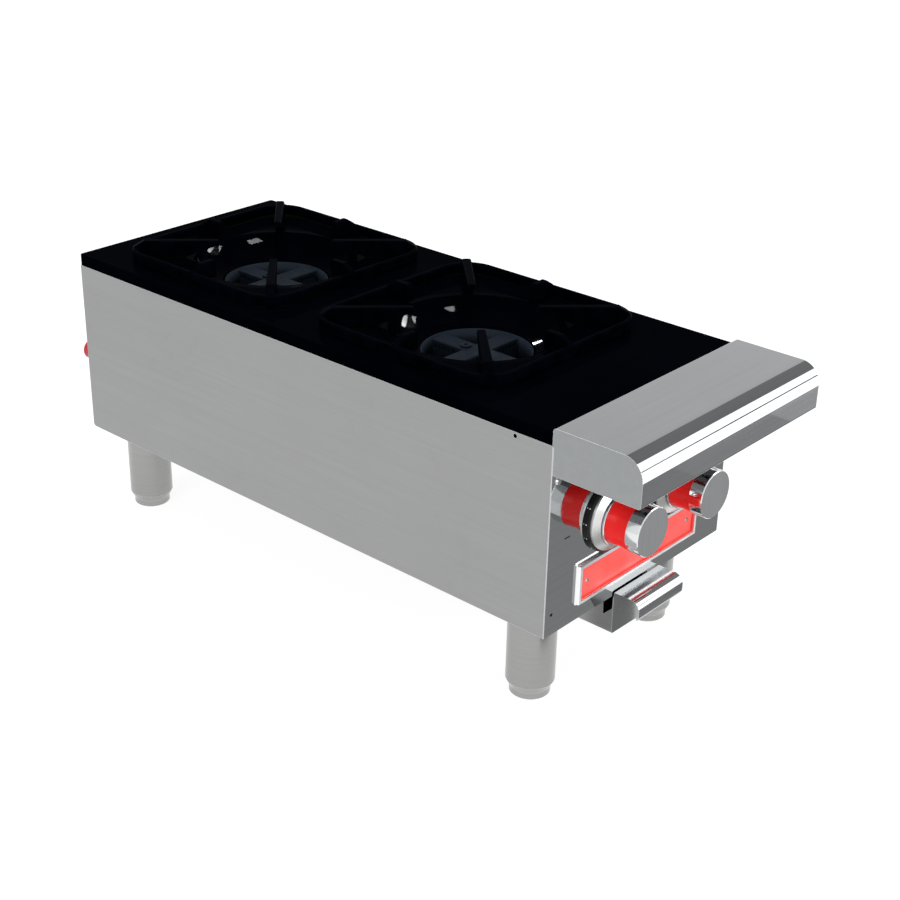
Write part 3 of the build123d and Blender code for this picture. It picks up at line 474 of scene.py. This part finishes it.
dress(
    steel(
        "side_satin", dark=(0.295, 0.297, 0.297), light=(0.33, 0.332, 0.332), rough=(0.34, 0.40),
        stretch=(1100.0, 10.0, 1100.0), depth=0.000004, rim=0.8,
    ),
    "side_panel_left", "side_panel_right",
)
round_edges(0.0004, "side_panel_left", "side_panel_right")

# Front panel: polished stainless sheet, a dark mirror of the counter with faint
# sideways polishing lines and finger marks round the knobs.
dress(
    steel(
        "panel_polish", dark=(0.42, 0.432, 0.438), light=(0.48, 0.492, 0.498), rough=(0.018, 0.045),
        stretch=(9.0, 1000.0, 1000.0), depth=0.0000006, rim=0.6, edge_highlight_radius=0.0004,
    ),
    "front_panel",
)

# Front ledge: a folded stainless box with a bullnose, polished along its length and
# welded shut at the ends, which are left satin where the weld is dressed to a soft rim.
end_face = 0.9
end_dullness = 0.4
ledge_finish = steel(
    "ledge_brush", dark=(0.275, 0.285, 0.292), light=(0.32, 0.33, 0.338), rough=(0.025, 0.05),
    stretch=(8.0, 1000.0, 1000.0), depth=0.000002, rim=0.85,
)
ledge_tree = ledge_finish.node_tree
ledge_shader = next(node for node in ledge_tree.nodes if node.type == "BSDF_PRINCIPLED")
ledge_gloss = ledge_shader.inputs["Roughness"].links[0].from_socket
ledge_facing = ledge_tree.nodes.new("ShaderNodeNewGeometry").outputs["Normal"]
ledge_side = ledge_tree.nodes.new("ShaderNodeSeparateXYZ")
ledge_tree.links.new(ledge_facing, ledge_side.inputs[0])
ledge_sideways = math_node(ledge_tree, "ABSOLUTE", ledge_side.outputs["X"])
ledge_ends = math_node(ledge_tree, "GREATER_THAN", ledge_sideways, end_face)
ledge_satin = math_node(ledge_tree, "MULTIPLY_ADD", ledge_ends, end_dullness)
ledge_tree.links.new(ledge_gloss, ledge_satin.node.inputs[2])
ledge_tree.links.new(ledge_satin, ledge_shader.inputs["Roughness"])
dress(ledge_finish, "front_ledge")
round_edges(0.0005, "front_ledge")

# Rear panel, base pan, rails, straps and nut plates: mill-finished sheet that is never
# polished, with rolling streaks and dull patches.
dress(
    steel(
        "mill_sheet", dark=(0.30, 0.30, 0.295), light=(0.40, 0.40, 0.39), rough=(0.36, 0.50),
        stretch=(500.0, 14.0, 500.0), depth=0.000006, rim=0.4,
    ),
    "rear_panel", "base_pan", "drawer_rails", "burner_supports", "leg_plates",
)

# Drip drawer and its handle: satin sheet, with the handle folded to a bullnose and
# polished by use.
dress(
    steel(
        "drawer_satin", dark=(0.33, 0.334, 0.336), light=(0.38, 0.384, 0.386), rough=(0.28, 0.36),
        stretch=(900.0, 12.0, 900.0), depth=0.000004, rim=0.6,
    ),
    "drip_drawer",
)
dress(
    steel(
        "handle_polish", dark=(0.34, 0.348, 0.355), light=(0.40, 0.408, 0.415), rough=(0.07, 0.13),
        stretch=(10.0, 1000.0, 1000.0), depth=0.000001, rim=0.85,
    ),
    "drawer_handle",
)
round_edges(0.0003, "drawer_handle", "drip_drawer")

# Legs and screw feet: turned stainless tube with fine rings round it, and a foot whose
# cone carries the load.
dress(
    steel(
        "leg_turned", dark=(0.31, 0.31, 0.303), light=(0.35, 0.35, 0.343), rough=(0.20, 0.26),
        stretch=(10.0, 10.0, 1400.0), depth=0.0000008, rim=0.7,
    ),
    "leg_front_left", "leg_front_right", "leg_rear_left", "leg_rear_right",
)
dress(
    steel(
        "foot_turned", dark=(0.33, 0.33, 0.323), light=(0.38, 0.38, 0.373), rough=(0.20, 0.28),
        stretch=(12.0, 12.0, 1600.0), depth=0.000001, rim=0.8,
    ),
    "foot_front_left", "foot_front_right", "foot_rear_left", "foot_rear_right",
)
for foot_place in ("front_left", "front_right", "rear_left", "rear_right"):
    round_edges(0.0003, "leg_" + foot_place, "foot_" + foot_place)

# Top plate and bowls: steel pressed to shape under black porcelain enamel, which pools
# with a slight orange peel and holds a few specks of dust.


def enamel(name, deep, navy, sheen, rough):
    """Black enamel: two near blacks, peel relief, wiped haze and dust."""
    dust_share = 0.008
    dust_grey = (0.5, 0.5, 0.5)
    print_dullness = 0.05
    peel_depth = 0.000003
    material, tree, shader = surface(name, 0.0, sheen)
    peel = effect(tree, skin, Scale=160.0)
    hands = effect(tree, marks, Size=7.0)
    specks = effect(tree, dust, Scale=700.0)
    body = blend_colours(tree, hands.outputs["Cloud"], deep, navy)
    dusted = math_node(tree, "MULTIPLY", specks.outputs["Specks"], dust_share)
    tree.links.new(blend_colours(tree, dusted, body, dust_grey), shader.inputs["Base Color"])
    gloss = math_node(tree, "MULTIPLY_ADD", hands.outputs["Prints"], print_dullness)
    tree.links.new(ranged(tree, hands.outputs["Cloud"], 0, 1, *rough), gloss.node.inputs[2])
    tree.links.new(gloss, shader.inputs["Roughness"])
    relief(tree, shader, peel.outputs["Relief"], peel_depth)
    return material


dress(
    enamel(
        "deck_enamel", deep=(0.0003, 0.0005, 0.0012), navy=(0.0007, 0.0010, 0.0022), sheen=0.0003,
        rough=(0.10, 0.16),
    ),
    "top_plate",
)
dress(
    enamel(
        "bowl_enamel", deep=(0.0003, 0.0004, 0.0010), navy=(0.0006, 0.0008, 0.0020), sheen=0.0007,
        rough=(0.03, 0.06),
    ),
    "bowl_front", "bowl_rear",
)

# Bowl collars: a thin ring of blued bare steel lines the hole of each bowl and hangs below
# it round the burner, pressed into the collar of the bowl.
collar_radius = 0.0599
collar_wall = 0.0005
collar_top = 0.2973
collar_foot = 0.2725
collar_sides = 48
level_face = 0.5
burner_centres = {"front": -0.0955, "rear": 0.217}
collar_deep = (0.009, 0.014, 0.021)
collar_blue = (0.012, 0.019, 0.028)
collar_heat = (0.016, 0.021, 0.029)


def coat(name, specular, scale, dark, light, rough, depth):
    """A coat or casting: two colours and a gloss over its skin; returns the parts and its colour."""
    material, tree, shader = surface(name, 0.0, specular)
    cast = effect(tree, skin, Scale=scale)
    body = blend_colours(tree, cast.outputs["Tone"], dark, light)
    tree.links.new(body, shader.inputs["Base Color"])
    tree.links.new(ranged(tree, cast.outputs["Tone"], 0, 1, *rough), shader.inputs["Roughness"])
    relief(tree, shader, cast.outputs["Relief"], depth)
    return material, tree, shader, body


def clouded(tree, shader, body, size, colour):
    """Cloud a coat with another colour where hands or heat have left it; returns the colour."""
    hands = effect(tree, marks, Size=size)
    mixed = blend_colours(tree, hands.outputs["Cloud"], body, colour)
    tree.links.new(mixed, shader.inputs["Base Color"])
    return mixed


def rubbed(tree, shader, body, radius, share, colour):
    """Rub the edges of a coat to another colour."""
    edges = effect(tree, edge_wear_and_highlight, Radius=radius)
    worn = math_node(tree, "MULTIPLY", edges.outputs["Edge"], share)
    tree.links.new(blend_colours(tree, worn, body, colour), shader.inputs["Base Color"])


collar_steel, collar_tree, collar_shader, collar_body = coat(
    "collar_steel", specular=0.03, scale=300.0, dark=collar_deep, light=collar_blue,
    rough=(0.40, 0.55), depth=0.00002,
)
clouded(collar_tree, collar_shader, collar_body, size=26.0, colour=collar_heat)


def turned_ring(name, section, centre, sides):
    """A ring turned about a vertical line through centre; section holds (radius, height) pairs."""
    mesh_data = bmesh.new()
    loops = []
    for step in range(sides):
        turn = 2 * math.pi * step / sides
        loops.append([
            mesh_data.verts.new((
                centre[0] + radius * math.cos(turn), centre[1] + radius * math.sin(turn), height,
            ))
            for radius, height in section
        ])
    for step in range(sides):
        here, there = loops[step], loops[(step + 1) % sides]
        for corner in range(len(section)):
            after = (corner + 1) % len(section)
            mesh_data.faces.new((here[corner], there[corner], there[after], here[after]))
    bmesh.ops.recalc_face_normals(mesh_data, faces=mesh_data.faces)
    mesh = bpy.data.meshes.new(name)
    mesh_data.to_mesh(mesh)
    mesh_data.free()
    ring = bpy.data.objects.new(name, mesh)
    bpy.context.scene.collection.objects.link(ring)
    return ring


for place, centre_y in burner_centres.items():
    collar = turned_ring("bowl_collar_" + place, [
        (collar_radius, collar_top), (collar_radius + collar_wall, collar_top),
        (collar_radius + collar_wall, collar_foot), (collar_radius, collar_foot),
    ], (0.0, centre_y), collar_sides)
    for face in collar.data.polygons:
        face.use_smooth = abs(face.normal.z) < level_face
    collar.data.materials.append(collar_steel)
    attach(collar, "bowl_" + place)

# Grates: cast iron under a satin black enamel, sandy to the touch, a little rubbed
# where pans slide over the fins.
grate_black = (0.0003, 0.0004, 0.0010)
grate_navy = (0.0008, 0.0012, 0.0028)
grate_bare = (0.3, 0.32, 0.36)
grate_finish, grate_tree, grate_shader, grate_body = coat(
    "grate_iron", specular=0.001, scale=420.0, dark=grate_black, light=grate_navy,
    rough=(0.30, 0.46), depth=0.00003,
)
rubbed(grate_tree, grate_shader, grate_body, radius=0.0008, share=0.004, colour=grate_bare)
dress(grate_finish, "grate_front", "grate_rear")
round_edges(0.0006, "grate_front", "grate_rear")

# Burners: grey iron castings with machined top faces, blued a little by the heat.
burner_deep = (0.0046, 0.0076, 0.0128)
burner_blue = (0.0070, 0.0110, 0.0180)
burner_heat = (0.0082, 0.0120, 0.0185)
burner_bare = (0.07, 0.09, 0.11)
burner_finish, burner_tree, burner_shader, burner_body = coat(
    "burner_iron", specular=0.03, scale=650.0, dark=burner_deep, light=burner_blue,
    rough=(0.42, 0.6), depth=0.00004,
)
burner_blued = clouded(burner_tree, burner_shader, burner_body, size=30.0, colour=burner_heat)
rubbed(burner_tree, burner_shader, burner_blued, radius=0.0006, share=0.3, colour=burner_bare)
dress(burner_finish, "burner_cap_front", "burner_cap_rear", "burner_body_front", "burner_body_rear")

# Gas train: zinc-coated pipe and mixing tubes, drawn aluminium pilot tubes, brass valves
# and their turned stems, all hidden inside the body.
dress(
    steel(
        "zinc_tube", dark=(0.36, 0.37, 0.38), light=(0.50, 0.51, 0.52), rough=(0.34, 0.5),
        stretch=(160.0, 160.0, 160.0), depth=0.000008, rim=0.4,
    ),
    "mixer_tube_front", "mixer_tube_rear", "manifold",
)
dress(
    steel(
        "pilot_drawn", dark=(0.62, 0.62, 0.62), light=(0.74, 0.74, 0.74), rough=(0.24, 0.34),
        stretch=(300.0, 30.0, 300.0), depth=0.000003, rim=0.4,
    ),
    "pilot_tube_front", "pilot_tube_rear",
)
dress(
    steel(
        "valve_brass", dark=(0.48, 0.33, 0.11), light=(0.66, 0.47, 0.18), rough=(0.24, 0.38),
        stretch=(240.0, 240.0, 240.0), depth=0.00001, rim=0.5,
    ),
    "valve_body_left", "valve_body_right",
)
dress(
    steel(
        "stem_turned", dark=(0.50, 0.50, 0.50), light=(0.62, 0.62, 0.62), rough=(0.18, 0.28),
        stretch=(12.0, 1600.0, 12.0), depth=0.000003, rim=0.6,
    ),
    "valve_stem_left", "valve_stem_right",
)

# Dial rings: black lacquered plates against the panel, and spun aluminium rings over
# them that flare to the knob.
bezel_black = (0.003, 0.003, 0.004)
bezel_grey = (0.007, 0.007, 0.008)
bezel_worn = (0.5, 0.5, 0.5)
bezel_finish, bezel_tree, bezel_shader, bezel_body = coat(
    "bezel_lacquer", specular=0.2, scale=300.0, dark=bezel_black, light=bezel_grey,
    rough=(0.12, 0.2), depth=0.000004,
)
rubbed(bezel_tree, bezel_shader, bezel_body, radius=0.0005, share=0.06, colour=bezel_worn)
dress(bezel_finish, "bezel_left", "bezel_right")
dress(
    steel(
        "ring_spun", dark=(0.66, 0.67, 0.66), light=(0.74, 0.75, 0.74), rough=(0.30, 0.38),
        stretch=(70.0, 900.0, 70.0), depth=0.0000005, rim=0.5,
    ),
    "dial_ring_left", "dial_ring_right",
)
dress(
    steel(
        "collar_chrome", dark=(0.66, 0.68, 0.72), light=(0.80, 0.81, 0.83), rough=(0.05, 0.09),
        stretch=(60.0, 60.0, 60.0), depth=0.0000005, rim=0.5,
    ),
    "knob_collar_left", "knob_collar_right",
)

# Dial marks: a printed black dash on the panel at the left of each knob and small white
# dots round each black plate, laid on as thin enamel ink.
panel_face = -0.3195
knob_height = 0.203
knob_places = {"left": -0.058, "right": 0.051}
dash_size = (0.0085, 0.0013)
dash_reach = 0.0655
ink_rise = 0.00012
dot_reach = 0.0377
dot_half = 0.0006
dot_half_width = 0.00042
dot_turns = range(100, 251, 25)
dot_depth = 0.0014
ink_black = (0.004, 0.004, 0.005)
ink_white = (0.85, 0.85, 0.85)


def ink(name, colour):
    """Printed ink: one colour, worn thin in places."""
    fading = 0.8
    greying = 0.02
    worn_rough = (0.3, 0.45)
    worn = tuple(fading * part + greying for part in colour)
    material, tree, shader = surface(name, 0.0, 0.3)
    wear = effect(tree, skin, Scale=900.0)
    tree.links.new(blend_colours(tree, wear.outputs["Tone"], colour, worn), shader.inputs["Base Color"])
    tree.links.new(ranged(tree, wear.outputs["Tone"], 0, 1, *worn_rough), shader.inputs["Roughness"])
    return material


def small_block(mesh_data, centre, half, turn):
    """Add a small block to a mesh, turned about the front-to-back line through it."""
    made = bmesh.ops.create_cube(mesh_data, size=2.0)
    shape = Matrix.Translation(centre) @ Matrix.Rotation(turn, 4, "Y") @ Matrix.Diagonal((*half, 1.0))
    bmesh.ops.transform(mesh_data, matrix=shape, verts=made["verts"])


black_ink = ink("mark_black", ink_black)
white_ink = ink("mark_white", ink_white)
for side, centre_x in knob_places.items():
    dash_mesh = bmesh.new()
    small_block(
        dash_mesh, (centre_x - dash_reach, panel_face - ink_rise / 2, knob_height),
        (dash_size[0] / 2, ink_rise / 2, dash_size[1] / 2), 0.0,
    )
    dot_mesh = bmesh.new()
    for degrees in dot_turns:
        turn = math.radians(degrees)
        small_block(
            dot_mesh,
            (centre_x + dot_reach * math.cos(turn), panel_face - dot_depth,
             knob_height + dot_reach * math.sin(turn)),
            (dot_half_width, dot_half, dot_half), -turn,
        )
    marks_made = (("dial_dash_", dash_mesh, black_ink), ("dial_dots_", dot_mesh, white_ink))
    for label, mesh_data, finish in marks_made:
        mesh = bpy.data.meshes.new(label + side)
        mesh_data.to_mesh(mesh)
        mesh_data.free()
        mesh.materials.append(finish)
        mark = bpy.data.objects.new(label + side, mesh)
        bpy.context.scene.collection.objects.link(mark)
        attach(mark, "stove")

# Knobs: red moulded plastic with a gloss skin and faint moulding ripples, and a cap of
# brushed aluminium with a painted highlight along its rims.
knob_red = (0.90, 0.010, 0.010)
knob_bright = (0.98, 0.018, 0.016)
knob_worn = (1.0, 0.2, 0.16)
knob_rough = (0.18, 0.30)
knob_peel_depth = 0.000006
knob_finish, knob_tree, knob_shader = surface("knob_red", 0.0, 0.3)
knob_peel = effect(knob_tree, skin, Scale=240.0)
knob_hands = effect(knob_tree, marks, Size=40.0)
knob_body = blend_colours(knob_tree, knob_peel.outputs["Tone"], knob_red, knob_bright)
knob_gloss = ranged(knob_tree, knob_hands.outputs["Cloud"], 0, 1, *knob_rough)
knob_tree.links.new(knob_gloss, knob_shader.inputs["Roughness"])
relief(knob_tree, knob_shader, knob_peel.outputs["Relief"], knob_peel_depth)
rubbed(knob_tree, knob_shader, knob_body, radius=0.0005, share=0.15, colour=knob_worn)
dress(knob_finish, "knob_left", "knob_right")
dress(
    steel(
        "cap_brushed", dark=(0.66, 0.68, 0.69), light=(0.74, 0.76, 0.77), rough=(0.07, 0.12),
        stretch=(1300.0, 1300.0, 14.0), depth=0.000002, rim=0.95, edge_highlight_radius=0.0008,
    ),
    "knob_cap_left", "knob_cap_right",
)
round_edges(0.0003, "knob_left", "knob_right", "knob_cap_left", "knob_cap_right")

# Badge: a die-cast chromed frame round a red enamelled tray, left bare, with two rivets.
dress(
    steel(
        "badge_chrome", dark=(0.84, 0.85, 0.86), light=(0.92, 0.93, 0.94), rough=(0.30, 0.40),
        stretch=(30.0, 400.0, 400.0), depth=0.0000005, rim=0.8,
    ),
    "badge_frame",
)
round_edges(0.0004, "badge_frame")
badge_red = (0.95, 0.100, 0.085)
badge_bright = (1.0, 0.150, 0.135)
badge_rough = (0.16, 0.26)
badge_peel_depth = 0.00001
badge_finish, badge_tree, badge_shader = surface("badge_enamel", 0.0, 0.35)
badge_peel = effect(badge_tree, skin, Scale=120.0)
badge_hands = effect(badge_tree, marks, Size=25.0)
badge_body = blend_colours(badge_tree, badge_hands.outputs["Cloud"], badge_red, badge_bright)
badge_gloss = ranged(badge_tree, badge_peel.outputs["Tone"], 0, 1, *badge_rough)
badge_tree.links.new(badge_body, badge_shader.inputs["Base Color"])
badge_tree.links.new(badge_gloss, badge_shader.inputs["Roughness"])
relief(badge_tree, badge_shader, badge_peel.outputs["Relief"], badge_peel_depth)
dress(badge_finish, "badge_plate")
dress(
    steel(
        "rivet_turned", dark=(0.50, 0.50, 0.50), light=(0.64, 0.64, 0.64), rough=(0.14, 0.24),
        stretch=(900.0, 900.0, 900.0), depth=0.000004, rim=0.8, edge_highlight_radius=0.0004,
    ),
    "badge_rivets", "panel_screws",
)

# Inlet cap: a soft red plastic cup pushed over the gas pipe, dull, with mould marks.
inlet_red = (0.46, 0.008, 0.022)
inlet_bright = (0.55, 0.014, 0.034)
inlet_finish = coat(
    "inlet_plastic", specular=0.4, scale=380.0, dark=inlet_red, light=inlet_bright,
    rough=(0.34, 0.46), depth=0.00002,
)[0]
dress(inlet_finish, "inlet_cap")
